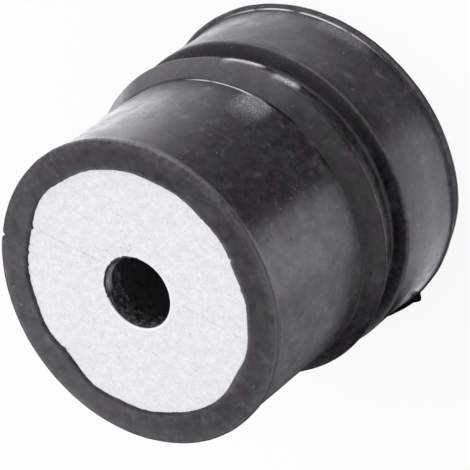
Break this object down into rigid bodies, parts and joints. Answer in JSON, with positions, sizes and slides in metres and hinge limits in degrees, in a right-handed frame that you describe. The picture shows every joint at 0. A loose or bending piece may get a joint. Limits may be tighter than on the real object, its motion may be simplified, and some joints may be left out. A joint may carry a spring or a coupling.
{
  "type": "anti-vibration mount",
  "caption": "Round black rubber buffer with a beaded groove for a panel, a thin flash fin at the rear and a pale metal disc with a hole bonded into its front face.",
  "frame": {"origin": "centre of the rear face, which the part stands on", "axes": "+Z along the part's axis, from the rear face to the disc in the front face"},
  "size_m": [0.0372, 0.0372, 0.0333],
  "materials": {
    "rubber": "satin",
    "plate": "matte"
  },
  "bodies": {
    "root": {"rubber_buffer": "rubber", "end_plate": "plate"}
  },
  "joints": []
}
